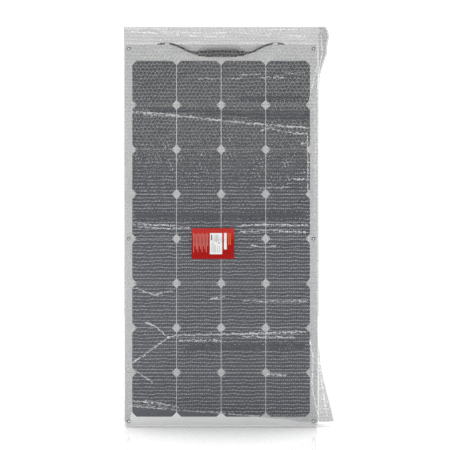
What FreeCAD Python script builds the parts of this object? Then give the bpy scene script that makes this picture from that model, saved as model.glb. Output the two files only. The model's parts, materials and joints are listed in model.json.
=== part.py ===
"""A flexible solar sheet hung by its top eyelets, with its junction box, leads and bubble-film wrap.

The sheet stands in the XZ plane with its front towards -Y and +Z up. The origin is midway between the
two top eyelets, in the middle of the sheet's thickness. The laminate is one bendy sheet: it is made in
five sections that meet on four bend lines, each of which lies in a gap between two rows of cells.
"""
import FreeCAD, Part
import math
import os
from FreeCAD import Placement, Rotation, Vector

doc = FreeCAD.newDocument("flexible_solar_sheet")

# Driving dimensions in millimetres, and counts
SIZES = {
    "sheet_width": 550,
    "sheet_length": 1085,
    "corner_radius": 6,
    "film_thickness": 0.5,
    "core_thickness": 1.3,
    "backing_thickness": 0.8,
    "top_margin": 46,
    "cell_size": 125,
    "cell_circle_radius": 80,
    "cell_pitch": 127,
    "cell_thickness": 0.2,
    "cell_columns": 4,
    "link_pad_width": 12,
    "link_pad_length": 14,
    "link_bar_length": 112,
    "link_clearance": 0.1,
    "link_thickness": 0.15,
    "bus_height": 8,
    "bus_overlap": 3,
    "bend_gap": 0.6,
    "eyelet_inset": 12,
    "eyelet_hole_radius": 2.75,
    "eyelet_barrel_radius": 3.25,
    "eyelet_rim_radius": 5.25,
    "eyelet_rim_thickness": 0.9,
    "eyelet_rounding": 0.54,
    "box_drop": 14,
    "box_length": 131,
    "box_height": 20,
    "box_middle_length": 90,
    "box_base_depth": 9.5,
    "box_end_height": 15,
    "box_end_depth": 8.5,
    "box_wall": 2.5,
    "lid_depth": 2.5,
    "lid_lip_depth": 1.2,
    "lid_lip_wall": 1.5,
    "lid_play": 0.2,
    "pad_depth": 0.6,
    "box_floor": 1.5,
    "box_end_rounding": 2,
    "diode_radius": 1.4,
    "diode_leg_radius": 0.5,
    "diode_length": 9,
    "lid_rounding": 1.5,
    "tab_width": 6,
    "tab_rise": 1.5,
    "tab_clearance": 0.5,
    "terminal_depth": 3,
    "terminal_length": 8,
    "terminal_height": 10,
    "seal_radius": 3.4,
    "seal_length": 8,
    "seal_shoulder": 0.6,
    "seal_lip": 0.5,
    "cable_diameter": 5.5,
    "coil_radius": 33,
    "coil_half_section": 5.5,
    "coil_across": 172,
    "coil_behind": 8.1,
    "coil_drop": 42,
    "tie_width": 6,
    "tie_thickness": 0.9,
    "tape_thickness": 0.4,
    "tape_length": 14,
    "tape_across": 146,
    "connector_behind": 9.5,
    "nut_start": 137,
    "nut_length": 14,
    "nut_radius": 7.5,
    "nut_flats": 13.95,
    "plug_body_length": 25,
    "plug_body_radius": 6.6,
    "plug_barrel_radius": 5.5,
    "plug_barrel_length": 16,
    "plug_well_radius": 3.0,
    "plug_well_depth": 13,
    "plug_collar_start": 4,
    "plug_collar_length": 5,
    "plug_collar_rise": 0.7,
    "socket_body_length": 31,
    "socket_body_radius": 7.2,
    "socket_bore_radius": 5.7,
    "socket_bore_depth": 15,
    "socket_collar_length": 12,
    "socket_collar_rise": 0.6,
    "sleeve_wall": 0.6,
    "sleeve_floor": 2,
    "contact_radius": 1.9,
    "contact_length": 10,
    "wrap_leaf": 2,
    "wrap_fold": 2.5,
    "wrap_fold_clearance": 0.5,
    "wrap_gap": 1.6,
    "wrap_front_clearance": 1.5,
    "wrap_rear_clearance": 2.5,
    "wrap_front_room": 13.5,
    "wrap_rear_room": 16.5,
    "wrap_right": 300,
    "wrap_top": 63,
    "wrap_bottom": 1066,
    "label_width": 120,
    "label_height": 87,
    "label_across": 23,
    "label_drop": 555,
    "label_thickness": 0.2,
    "sticker_width": 35,
    "sticker_height": 60,
    "sticker_across": 14.5,
    "strip_width": 8,
    "strip_height": 47,
    "strip_across": 12,
    "strip_drop": 548,
    "sticker_thickness": 0.15,
}

# The rows of cells above each end of the five sections, from the top of the sheet to its foot
ROWS_ABOVE_SECTION_END = [0, 1, 3, 5, 7, 8]
ROW_COUNT = ROWS_ABOVE_SECTION_END[-1]
SECTION_COUNT = len(ROWS_ABOVE_SECTION_END) - 1
COLUMN_COUNT = SIZES["cell_columns"]
MIDDLE_ROWS = 4
PADS_ACROSS_CELL = (-1, 0, 1)

# The left lead from its seal, up over the sheet's top edge and down behind it to the coil
LEAD_ROUTE = [
    (-73.5, -6.2, -14),
    (-92, -6.2, -9.5),
    (-118, -6.2, 5),
    (-143, -6.2, 16),
    (-165, 0, 22),
    (-186, 6.5, 18.5),
    (-201, 8.1, 2),
    (-205, 8.1, -20),
    (-204, 8.1, -41),
]
# The left lead's tail, from the foot of the coil to the nut of its connector
TAIL_ROUTE = [
    (-172, 8.1, -75),
    (-155, 8.6, -75.5),
    (-137, 9.5, -75),
]

nodes = []


def size(expression):
    """Text for setExpression, in which a word in braces is a cell of the sheet of sizes."""
    return str(expression).replace("{", "sizes.").replace("}", "")


def bind(obj, formulas):
    for path, formula in formulas.items():
        obj.setExpression(path, size(formula))
    return obj


def place(obj, x, y, z):
    return bind(obj, {"Placement.Base.x": x, "Placement.Base.y": y, "Placement.Base.z": z})


def node(label, obj):
    """Marks a finished sub-part, which is written to a file of that name."""
    obj.Label = label
    nodes.append(obj)
    return obj


def box(x, y, z, length, width, height):
    obj = doc.addObject("Part::Box", "box")
    bind(obj, {"Length": length, "Width": width, "Height": height})
    return place(obj, x, y, z)


def rod(x, y, z, radius, length, turn):
    """A cylinder that starts at a point and runs along the axis that turn carries +Z to."""
    obj = doc.addObject("Part::Cylinder", "rod")
    bind(obj, {"Radius": radius, "Height": length})
    obj.Placement = Placement(Vector(), turn)
    return place(obj, x, y, z)


def cone(x, y, z, start_radius, end_radius, length, turn):
    obj = doc.addObject("Part::Cone", "cone")
    bind(obj, {"Radius1": start_radius, "Radius2": end_radius, "Height": length})
    obj.Placement = Placement(Vector(), turn)
    return place(obj, x, y, z)


def cut(base, *tools):
    for tool in tools:
        result = doc.addObject("Part::Cut", "cut")
        result.Base = base
        result.Tool = tool
        base = result
    return base


def common(first, second):
    result = doc.addObject("Part::Common", "common")
    result.Base = first
    result.Tool = second
    return result


def fuse(*pieces):
    result = doc.addObject("Part::MultiFuse", "fuse")
    result.Shapes = list(pieces)
    return result


def group(pieces):
    """Separate solids that share one node."""
    result = doc.addObject("Part::Compound", "group")
    result.Links = list(pieces)
    return result


def fillet(base, radius, wanted):
    """Rounds the edges of base for which wanted(edge) is true."""
    doc.recompute()
    result = doc.addObject("Part::Fillet", "fillet")
    result.Base = base
    result.Edges = [
        (number, radius, radius)
        for number, edge in enumerate(base.Shape.Edges, start=1)
        if wanted(edge)
    ]
    return result


ALONG_X = Rotation(Vector(0, 1, 0), 90)
ALONG_MINUS_X = Rotation(Vector(0, 1, 0), -90)
ALONG_Y = Rotation(Vector(1, 0, 0), -90)

# Heights of the layers, from the front of the sheet to the back
SHEET_FRONT = "-({film_thickness} + {core_thickness} + {backing_thickness}) / 2"
SHEET_BACK = "({film_thickness} + {core_thickness} + {backing_thickness}) / 2"
CORE_FRONT = f"{SHEET_FRONT} + {{film_thickness}}"
BACKING_FRONT = f"{CORE_FRONT} + {{core_thickness}}"
LINK_FRONT = f"{CORE_FRONT} + {{cell_thickness}}"
SHEET_TOP = "{eyelet_inset}"
FIELD_TOP = "({eyelet_inset} - {top_margin})"
CELL_GAP = "({cell_pitch} - {cell_size})"
FIELD_LEFT = f"(-{{cell_columns}} * {{cell_pitch}} / 2 + {CELL_GAP} / 2)"


def gap_line(rows_above):
    """The height of the middle of the gap under so many rows of cells."""
    return f"({FIELD_TOP} - {rows_above} * {{cell_pitch}} + {CELL_GAP} / 2)"


def section_top(section):
    rows = ROWS_ABOVE_SECTION_END[section]
    return f"({gap_line(rows)} - {{bend_gap}} / 2)" if rows else SHEET_TOP


def section_foot(section):
    rows = ROWS_ABOVE_SECTION_END[section + 1]
    if rows == ROW_COUNT:
        return f"({SHEET_TOP} - {{sheet_length}})"
    return f"({gap_line(rows)} + {{bend_gap}} / 2)"


def section_rows(section):
    return range(ROWS_ABOVE_SECTION_END[section], ROWS_ABOVE_SECTION_END[section + 1])


def eyelet_height(section):
    """The height of the pair of eyelets in this section, or None."""
    if section == 0:
        return "0"
    if section == SECTION_COUNT - 1:
        return f"({SHEET_TOP} - {{sheet_length}} + {{eyelet_inset}})"
    return gap_line(MIDDLE_ROWS) if MIDDLE_ROWS - 1 in section_rows(section) else None


def eyelet_sides():
    return [f"{sign} * ({{sheet_width}} / 2 - {{eyelet_inset}})" for sign in (-1, 1)]


def layer(section, front, thickness):
    """One layer of the laminate over one section, with holes for the barrels of its eyelets."""
    top = section_top(section)
    foot = section_foot(section)
    slab = box("-{sheet_width} / 2", front, foot, "{sheet_width}", thickness, f"{top} - {foot}")
    if section in (0, SECTION_COUNT - 1):
        slab = round_outer_corners(slab, at_top=section == 0)
    height = eyelet_height(section)
    if height is None:
        return slab
    holes = [
        rod(x, f"{front} - 1", height, "{eyelet_barrel_radius}", f"{thickness} + 2", ALONG_Y)
        for x in eyelet_sides()
    ]
    return cut(slab, group(holes))


def round_outer_corners(slab, at_top):
    doc.recompute()
    bounds = slab.Shape.BoundBox
    height = bounds.ZMax if at_top else bounds.ZMin

    def is_corner(edge):
        ends = [vertex.Point for vertex in edge.Vertexes]
        return all(abs(end.z - height) < 1e-6 for end in ends) and ends[0].distanceToPoint(ends[1]) < 10

    return fillet(slab, SIZES["corner_radius"], is_corner)


def cell(row, column):
    """A square of silicon whose corners are cut by the round wafer that it came from."""
    left = f"{FIELD_LEFT} + {column} * {{cell_pitch}}"
    foot = f"{FIELD_TOP} - {row} * {{cell_pitch}} - {{cell_size}}"
    square = box(left, CORE_FRONT, foot, "{cell_size}", "{cell_thickness}", "{cell_size}")
    middle = f"{left} + {{cell_size}} / 2"
    height = f"{foot} + {{cell_size}} / 2"
    wafer = rod(middle, CORE_FRONT, height, "{cell_circle_radius}", "{cell_thickness}", ALONG_Y)
    return common(square, wafer)


def cells(section):
    return group([cell(row, column) for row in section_rows(section) for column in range(COLUMN_COUNT)])


def link_spans(section):
    """For each line of links, the ends of its pads and of its bars: cut off short at a bend line."""
    spans = []
    first = ROWS_ABOVE_SECTION_END[section]
    last = ROWS_ABOVE_SECTION_END[section + 1]
    for rows in range(max(first, 1), min(last, ROW_COUNT - 1) + 1):
        line = gap_line(rows)
        pad_top = f"({line} + {{link_pad_length}} / 2)"
        pad_foot = f"({line} - {{link_pad_length}} / 2)"
        bar_top = f"({line} + {CELL_GAP} / 2 - {{link_clearance}})"
        bar_foot = f"({line} - {CELL_GAP} / 2 + {{link_clearance}})"
        if rows == first:
            pad_top = bar_top = f"({section_top(section)} - {{link_clearance}})"
        if rows == last:
            pad_foot = bar_foot = f"({section_foot(section)} + {{link_clearance}})"
        spans.append((pad_top, pad_foot, bar_top, bar_foot))
    return spans


def cell_link(column, pad_top, pad_foot, bar_top, bar_foot):
    """A copper bar that shows in the gap between two cells, with flat pads that reach behind them."""
    middle = f"{FIELD_LEFT} + {column} * {{cell_pitch}} + {{cell_size}} / 2"
    bar_left = f"{middle} - {{link_bar_length}} / 2"
    bar_depth = "{cell_thickness} + {link_thickness}"
    bar = box(bar_left, CORE_FRONT, bar_foot, "{link_bar_length}", bar_depth, f"{bar_top} - {bar_foot}")
    pads = [
        box(f"{middle} + {{cell_size}} * {side} / 3 - {{link_pad_width}} / 2", LINK_FRONT, pad_foot,
            "{link_pad_width}", "{link_thickness}", f"{pad_top} - {pad_foot}")
        for side in PADS_ACROSS_CELL
    ]
    return fuse(bar, *pads)


def cell_links(section):
    """The copper links that join each cell to the next one down its string."""
    return group([
        cell_link(column, *span)
        for span in link_spans(section)
        for column in range(COLUMN_COUNT)
    ])


def bus(first_column, last_column, foot):
    """A flat bus across the ends of neighbouring strings."""
    left = f"{FIELD_LEFT} + {first_column} * {{cell_pitch}} + {{cell_size}} / 12"
    length = f"{last_column - first_column} * {{cell_pitch}} + {{cell_size}} * 5 / 6"
    return box(left, LINK_FRONT, foot, length, "{link_thickness}", "{bus_height}")


def bus_top():
    foot = f"{FIELD_TOP} - {{bus_overlap}}"
    return group([bus(0, 0, foot), bus(1, 2, foot), bus(3, 3, foot)])


def bus_bottom():
    foot = f"{FIELD_TOP} - {ROW_COUNT} * {{cell_pitch}} + {CELL_GAP} + {{bus_overlap}} - {{bus_height}}"
    return group([bus(0, 1, foot), bus(2, 3, foot)])


TAB_PLACES = (-1, 0, 1)
TAB_SPACING = 24
BOX_MIDDLE = "-{box_drop}"
TAB_FRONT = f"({SHEET_FRONT} - {{pad_depth}} - {{box_floor}} - {{tab_rise}})"
TAB_FOOT = f"({FIELD_TOP} - {{bus_overlap}} + {{bus_height}})"
TAB_ROW_HEIGHT = 9


def output_ribbon(place_number):
    """A ribbon from the top bus up to the box, with a tab that comes forward through the film."""
    middle = place_number * TAB_SPACING
    left = f"{middle} - {{tab_width}} / 2"
    top = f"({BOX_MIDDLE} + {{link_thickness}})"
    riser_foot = f"({TAB_FOOT} + {TAB_ROW_HEIGHT if place_number else 0})"
    riser = box(left, LINK_FRONT, riser_foot, "{tab_width}", "{link_thickness}", f"{top} - {riser_foot}")
    depth = f"{LINK_FRONT} + {{link_thickness}} - {TAB_FRONT}"
    tab = box(left, TAB_FRONT, BOX_MIDDLE, "{tab_width}", depth, "{link_thickness}")
    if not place_number:
        return fuse(riser, tab)
    reach = f"({{cell_pitch}} * 1.5 - {TAB_SPACING} + {{tab_width}} / 2)"
    arm_left = left if place_number > 0 else f"{middle} + {{tab_width}} / 2 - {reach}"
    arm = box(arm_left, LINK_FRONT, riser_foot, reach, "{link_thickness}", "{tab_width} / 2")
    drop_left = f"{place_number} * {{cell_pitch}} * 1.5 - {{tab_width}} / 2"
    drop_length = f"{TAB_ROW_HEIGHT} + {{tab_width}} / 2"
    drop = box(drop_left, LINK_FRONT, TAB_FOOT, "{tab_width}", "{link_thickness}", drop_length)
    return fuse(riser, tab, arm, drop)


def tab_slots(front, depth):
    """The narrow slots that the ribbons' tabs pass through."""
    return group([
        box(f"{number * TAB_SPACING} - {{tab_width}} / 2 - {{tab_clearance}}", front,
            f"{BOX_MIDDLE} - {{tab_clearance}}", "{tab_width} + 2 * {tab_clearance}", depth,
            "{link_thickness} + 2 * {tab_clearance}")
        for number in TAB_PLACES
    ])


def eyelet(x, z):
    """A metal tube through the sheet with a rounded rim on each face."""
    front = f"{SHEET_FRONT} - {{eyelet_rim_thickness}}"
    depth = f"{SHEET_BACK} - ({SHEET_FRONT}) + 2 * {{eyelet_rim_thickness}}"
    barrel = rod(x, front, z, "{eyelet_barrel_radius}", depth, ALONG_Y)
    rims = [
        rod(x, rim_front, z, "{eyelet_rim_radius}", "{eyelet_rim_thickness}", ALONG_Y)
        for rim_front in (front, SHEET_BACK)
    ]
    rounded = [fillet(rim, SIZES["eyelet_rounding"], faces_away) for rim in rims]
    hole = rod(x, f"{front} - 1", z, "{eyelet_hole_radius}", f"{depth} + 2", ALONG_Y)
    return cut(fuse(barrel, *rounded), hole)


def faces_away(edge):
    """True for a rim's round edge that is further from the sheet's middle."""
    middle_of_rim = (sum(SIZES[layer] for layer in ("film_thickness", "core_thickness", "backing_thickness"))
                     + SIZES["eyelet_rim_thickness"]) / 2
    return edge.Curve.TypeId == "Part::GeomCircle" and abs(edge.Curve.Center.y) > middle_of_rim


def eyelets(section):
    height = eyelet_height(section)
    return group([eyelet(x, height) for x in eyelet_sides()])


PAD_FRONT = f"({SHEET_FRONT} - {{pad_depth}})"
BASE_FRONT = f"({PAD_FRONT} - {{box_base_depth}})"
LID_FRONT = f"({BASE_FRONT} - {{lid_depth}})"
LEAD_DEPTH = f"({PAD_FRONT} - {{box_end_depth}} / 2)"


def centred_box(length, front, depth, height):
    """A block centred on the junction box, seen from the front."""
    return box(f"-({length}) / 2", front, f"{BOX_MIDDLE} - ({height}) / 2", length, depth, height)


def round_block(block, radius):
    """Rounds the four edges of a block that run front to back, and those of its front face."""
    doc.recompute()
    front = block.Shape.BoundBox.YMin

    def chosen(edge):
        ends = [vertex.Point for vertex in edge.Vertexes]
        along_y = abs(ends[0].y - ends[1].y) > 1e-6
        return along_y or all(abs(end.y - front) < 1e-6 for end in ends)

    return fillet(block, radius, chosen)


def box_pad():
    pad = centred_box("{box_length} - 4", PAD_FRONT, "{pad_depth}", "{box_end_height} - 1")
    return cut(pad, tab_slots(f"{PAD_FRONT} - 1", "{pad_depth} + 2"))


def box_base():
    """The tray of the junction box, with a lower block at each end that a lead comes out of."""
    middle = centred_box("{box_middle_length}", BASE_FRONT, "{box_base_depth}", "{box_height}")
    ends_front = f"{PAD_FRONT} - {{box_end_depth}}"
    ends = round_block(centred_box("{box_length}", ends_front, "{box_end_depth}", "{box_end_height}"),
                       SIZES["box_end_rounding"])
    hollow = centred_box(
        "{box_middle_length} - 2 * {box_wall}", f"{BASE_FRONT} - 1",
        "{box_base_depth} + 1 - {box_floor}", "{box_height} - 2 * {box_wall}")
    seals = rod("-{box_length} / 2 - 1", LEAD_DEPTH, BOX_MIDDLE, "{seal_radius}", "{box_length} + 2", ALONG_X)
    slots = tab_slots(f"{PAD_FRONT} - {{box_floor}} - 1", "{box_floor} + 2")
    return cut(fuse(middle, ends), hollow, seals, slots)


def box_lid():
    """A snap-in lid with a lip that drops into the tray."""
    plate = round_block(centred_box("{box_middle_length}", LID_FRONT, "{lid_depth}", "{box_height}"),
                        SIZES["lid_rounding"])
    inset = "2 * ({box_wall} + {lid_play})"
    inner_inset = "2 * ({box_wall} + {lid_play} + {lid_lip_wall})"
    lip = centred_box(f"{{box_middle_length}} - {inset}", BASE_FRONT, "{lid_lip_depth}",
                      f"{{box_height}} - {inset}")
    lip_inside = centred_box(f"{{box_middle_length}} - {inner_inset}", BASE_FRONT, "{lid_lip_depth}",
                             f"{{box_height}} - {inner_inset}")
    return fuse(plate, cut(lip, lip_inside))


def terminals():
    """A brass block at each tab, which the tab and a diode's leg are soldered to."""
    return group([
        box(f"{number * TAB_SPACING} - {{terminal_length}} / 2", f"{TAB_FRONT} - {{terminal_depth}}",
            f"{BOX_MIDDLE} - {{terminal_height}} / 2", "{terminal_length}", "{terminal_depth}",
            "{terminal_height}")
        for number in TAB_PLACES
    ])


def diodes():
    """Two bypass diodes, each between two terminals."""
    pieces = []
    depth = f"{TAB_FRONT} - {{terminal_depth}} / 2"
    reach = f"({TAB_SPACING} - {{terminal_length}})"
    for side in (-1, 0):
        start = f"{side * TAB_SPACING} + {{terminal_length}} / 2"
        body_start = f"{start} + ({reach} - {{diode_length}}) / 2"
        leg = rod(start, depth, BOX_MIDDLE, "{diode_leg_radius}", reach, ALONG_X)
        body = rod(body_start, depth, BOX_MIDDLE, "{diode_radius}", "{diode_length}", ALONG_X)
        pieces.append(fuse(leg, body))
    return group(pieces)


def cable_seals():
    """A rubber seal in each end block, with a short taper round the lead outside it."""
    pieces = []
    inside = "(({box_length} - {box_middle_length}) / 2 + {box_wall})"
    for sign, turn in ((-1, ALONG_MINUS_X), (1, ALONG_X)):
        start = f"{sign} * ({{box_length}} / 2 - {inside})"
        plug = rod(start, LEAD_DEPTH, BOX_MIDDLE, "{seal_radius}", inside, turn)
        face = f"{sign} * {{box_length}} / 2"
        taper = cone(face, LEAD_DEPTH, BOX_MIDDLE, "{seal_radius} + {seal_shoulder}",
                     "{cable_diameter} / 2 + {seal_lip}", "{seal_length}", turn)
        pieces.append(fuse(plug, taper))
    return group(pieces)


def mirrored(points):
    return [(-x, y, z) for x, y, z in points]


SHARE_OF_RUN_IN_ARC = 0.45


def rounded_path(points):
    """Straight runs joined by tangent arcs, and the arcs' radii. An arc takes up to most of half a run."""
    corners = [Vector(*point) for point in points]
    edges = []
    radii = []
    start = corners[0]
    for before, corner, after in zip(corners, corners[1:], corners[2:]):
        inward = (before - corner).normalize()
        outward = (after - corner).normalize()
        reach = SHARE_OF_RUN_IN_ARC * min((before - corner).Length, (after - corner).Length)
        half_turn = (math.pi - inward.getAngle(outward)) / 2
        radius = reach / math.tan(half_turn)
        arc_start = corner + inward * reach
        arc_end = corner + outward * reach
        to_centre = (inward + outward).normalize()
        middle = corner + to_centre * (radius / math.cos(half_turn) - radius)
        edges.append(Part.LineSegment(start, arc_start).toShape())
        edges.append(Part.Arc(arc_start, middle, arc_end).toShape())
        radii.append(radius)
        start = arc_end
    edges.append(Part.LineSegment(start, corners[-1]).toShape())
    return Part.Wire(edges), radii


def tube(points, radius):
    """A round tube along a rounded path, whose volume is compared with section times length."""
    path, radii = rounded_path(points)
    direction = Vector(*points[1]) - Vector(*points[0])
    profile = Part.Wire(Part.makeCircle(radius, Vector(*points[0]), direction))
    solid = path.makePipeShell([profile], True, False)
    expected = math.pi * radius ** 2 * path.Length
    print(f"tube {path.Length:.1f} mm long, radii {[round(value, 1) for value in radii]}, "
          f"volume {solid.Volume / expected:.4f} of section times length")
    return solid


def cable(lead, tail):
    """Both stretches of one lead that aren't coiled."""
    obj = doc.addObject("Part::Feature", "cable")
    radius = SIZES["cable_diameter"] / 2
    obj.Shape = Part.makeCompound([tube(lead, radius), tube(tail, radius)])
    obj.Placement = Placement()
    return obj


# Wide enough to hold the lead wherever a band is cut from the tube round it
TAPE_SLAB = 60


def tape_bands():
    """A turn of white tape round each lead where it nears the sheet's top edge."""
    bands = []
    cable_radius = SIZES["cable_diameter"] / 2
    for route, sign in ((LEAD_ROUTE, -1), (mirrored(LEAD_ROUTE), 1)):
        thick = tube(route, cable_radius + SIZES["tape_thickness"])
        near = sign * SIZES["tape_across"]
        far = sign * (SIZES["tape_across"] + SIZES["tape_length"])
        slab = Part.makeBox(SIZES["tape_length"], TAPE_SLAB, TAPE_SLAB,
                            Vector(min(near, far), -TAPE_SLAB / 2, -TAPE_SLAB / 2))
        bands.append(thick.common(slab).cut(tube(route, cable_radius)))
    obj = doc.addObject("Part::Feature", "tape")
    obj.Shape = Part.makeCompound([solid for band in bands for solid in band.Solids])
    obj.Placement = Placement()
    return obj


def coil(sign):
    """The outer shape of the turns of one lead, which lie flat behind the sheet."""
    middle = f"{sign} * {{coil_across}}"
    near = "({coil_behind} - {coil_half_section})"
    outside = rod(middle, near, "-{coil_drop}", "{coil_radius} + {coil_half_section}",
                  "2 * {coil_half_section}", ALONG_Y)
    inside = rod(middle, f"{near} - 1", "-{coil_drop}", "{coil_radius} - {coil_half_section}",
                 "2 * {coil_half_section} + 2", ALONG_Y)
    return cut(outside, inside)


def coil_tie(sign, turns):
    """A strap round the top of a coil."""
    section = "2 * ({coil_half_section} + {tie_thickness})"
    strap = box(
        f"{sign} * {{coil_across}} - {{tie_width}} / 2",
        "{coil_behind} - {coil_half_section} - {tie_thickness}",
        "-{coil_drop} + {coil_radius} - {coil_half_section} - {tie_thickness}",
        "{tie_width}", section, section)
    return cut(strap, turns)


CONNECTOR_DROP = "-({coil_drop} + {coil_radius})"


def connector_nut(sign):
    """The nut that clamps the lead's seal in a connector, with flats to grip."""
    turn = ALONG_X if sign < 0 else ALONG_MINUS_X
    start = f"{sign} * {{nut_start}}"
    barrel = rod(start, "{connector_behind}", CONNECTOR_DROP, "{nut_radius}", "{nut_length}", turn)
    left = f"{start} - ({{nut_length}} + 2) / 2 - {sign} * {{nut_length}} / 2"
    block = box(left, "{connector_behind} - {nut_flats} / 2", f"{CONNECTOR_DROP} - {{nut_flats}} / 2",
                "{nut_length} + 2", "{nut_flats}", "{nut_flats}")
    return common(barrel, block)


PLUG_START = "(-{nut_start} + {nut_length})"
PLUG_SHOULDER = f"({PLUG_START} + {{plug_body_length}})"
PLUG_MOUTH = f"({PLUG_SHOULDER} + {{plug_barrel_length}})"
SOCKET_START = "({nut_start} - {nut_length})"
SOCKET_MOUTH = f"({SOCKET_START} - {{socket_body_length}})"


def plug_shell():
    """A body with a collar, and a narrower barrel that enters a socket."""
    body = rod(PLUG_START, "{connector_behind}", CONNECTOR_DROP, "{plug_body_radius}",
               "{plug_body_length}", ALONG_X)
    barrel = rod(PLUG_SHOULDER, "{connector_behind}", CONNECTOR_DROP, "{plug_barrel_radius}",
                 "{plug_barrel_length}", ALONG_X)
    well = rod(f"{PLUG_MOUTH} - {{plug_well_depth}}", "{connector_behind}", CONNECTOR_DROP,
               "{plug_well_radius}", "{plug_well_depth} + 1", ALONG_X)
    collar = rod(f"{PLUG_START} + {{plug_collar_start}}", "{connector_behind}", CONNECTOR_DROP,
                 "{plug_body_radius} + {plug_collar_rise}", "{plug_collar_length}", ALONG_X)
    return cut(fuse(body, barrel, collar), well)


def socket_shell():
    """A body with a round mouth that a plug's barrel enters, and a collar round the mouth."""
    body = rod(SOCKET_START, "{connector_behind}", CONNECTOR_DROP,
               "{socket_body_radius} - {socket_collar_rise}", "{socket_body_length}", ALONG_MINUS_X)
    collar = rod(f"{SOCKET_MOUTH} + {{socket_collar_length}}", "{connector_behind}", CONNECTOR_DROP,
                 "{socket_body_radius}", "{socket_collar_length}", ALONG_MINUS_X)
    mouth = rod(f"{SOCKET_MOUTH} + {{socket_bore_depth}}", "{connector_behind}", CONNECTOR_DROP,
                "{socket_bore_radius}", "{socket_bore_depth} + 1", ALONG_MINUS_X)
    seat = rod(f"{SOCKET_MOUTH} + {{socket_bore_depth}} + {{contact_length}}", "{connector_behind}",
               CONNECTOR_DROP, "{contact_radius}", "{contact_length} + 1", ALONG_MINUS_X)
    return cut(fuse(body, collar), mouth, seat)


def plug_contact():
    """A round pin in the well of the plug."""
    start = f"{PLUG_MOUTH} - {{plug_well_depth}}"
    return rod(start, "{connector_behind}", CONNECTOR_DROP, "{contact_radius}", "{contact_length}", ALONG_X)


def socket_contact():
    """A round sleeve at the bottom of the socket's mouth."""
    start = f"{SOCKET_MOUTH} + {{socket_bore_depth}} + {{contact_length}}"
    outside = rod(start, "{connector_behind}", CONNECTOR_DROP, "{contact_radius}",
                  "{contact_length}", ALONG_MINUS_X)
    inside = rod(f"{start} - {{sleeve_floor}}", "{connector_behind}", CONNECTOR_DROP,
                 "{contact_radius} - {sleeve_wall}", "{contact_length}", ALONG_MINUS_X)
    return cut(outside, inside)


def wrap_heights(section):
    """The top and foot of the stretch of wrap round one section."""
    top = f"({gap_line(ROWS_ABOVE_SECTION_END[section])} - {{wrap_gap}} / 2)"
    foot = f"({gap_line(ROWS_ABOVE_SECTION_END[section + 1])} + {{wrap_gap}} / 2)"
    if section == 0:
        top = "{wrap_top}"
    if section == SECTION_COUNT - 1:
        foot = "-{wrap_bottom}"
    return top, foot


def wrap(section):
    """Bubble film folded round the left edge: a front leaf, the fold and a rear leaf."""
    top, foot = wrap_heights(section)
    front_room = "{wrap_front_room}" if section == 0 else "{wrap_front_clearance}"
    rear_room = "{wrap_rear_room}" if section == 0 else "{wrap_rear_clearance}"
    left = "(-{sheet_width} / 2 - {wrap_fold_clearance})"
    inner_front = f"({SHEET_FRONT} - {front_room})"
    inner_depth = f"({SHEET_BACK} + {rear_room} - {inner_front})"
    outer = box(f"{left} - {{wrap_fold}}", f"{inner_front} - {{wrap_leaf}}", foot,
                f"{{wrap_right}} - {left} + {{wrap_fold}}", f"{inner_depth} + 2 * {{wrap_leaf}}",
                f"{top} - {foot}")
    inner = box(left, inner_front, f"{foot} - 1", f"{{wrap_right}} - {left} + 1", inner_depth,
                f"{top} - {foot} + 2")
    return cut(outer, inner)


LABEL_BACK = f"({SHEET_FRONT} - {{wrap_front_clearance}} - {{wrap_leaf}})"
LABEL_FRONT = f"({LABEL_BACK} - {{label_thickness}})"


def card(across, drop, width, height, back, thickness):
    """A thin upright rectangle, centred at a place on the front of the wrap."""
    return box(f"{across} - {width} / 2", f"{back} - {thickness}", f"-{drop} - {height} / 2",
               width, thickness, height)


def label():
    return card("-{label_across}", "{label_drop}", "{label_width}", "{label_height}",
                LABEL_BACK, "{label_thickness}")


def sticker():
    return card("-{sticker_across}", "{label_drop}", "{sticker_width}", "{sticker_height}",
                LABEL_FRONT, "{sticker_thickness}")


def strip():
    return card("{strip_across}", "{strip_drop}", "{strip_width}", "{strip_height}",
                LABEL_FRONT, "{sticker_thickness}")


def make_sizes():
    sheet = doc.addObject("Spreadsheet::Sheet", "sizes")
    for row, (name, value) in enumerate(SIZES.items(), start=1):
        sheet.set(f"A{row}", name)
        sheet.set(f"B{row}", str(value))
        sheet.setAlias(f"B{row}", name)
    doc.recompute()


def make_section(section):
    """The layers of one section of the laminate, its cells and what joins them, and its stretch of wrap."""
    number = section + 1
    film = layer(section, SHEET_FRONT, "{film_thickness}")
    core = layer(section, CORE_FRONT, "{core_thickness}")
    silicon = node(f"cells_{number}", cells(section))
    links = node(f"cell_links_{number}", cell_links(section))
    held_in_core = [silicon, links]
    if section == 0:
        film = cut(film, tab_slots(f"{SHEET_FRONT} - 1", "{film_thickness} + 2"))
        ribbons = node("output_ribbons", group([output_ribbon(number) for number in TAB_PLACES]))
        held_in_core += [node("bus_top", bus_top()), ribbons]
    if section == SECTION_COUNT - 1:
        held_in_core.append(node("bus_bottom", bus_bottom()))
    node(f"film_{number}", film)
    node(f"core_{number}", cut(core, *held_in_core))
    node(f"backing_{number}", layer(section, BACKING_FRONT, "{backing_thickness}"))
    node(f"wrap_{number}", wrap(section))


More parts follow.
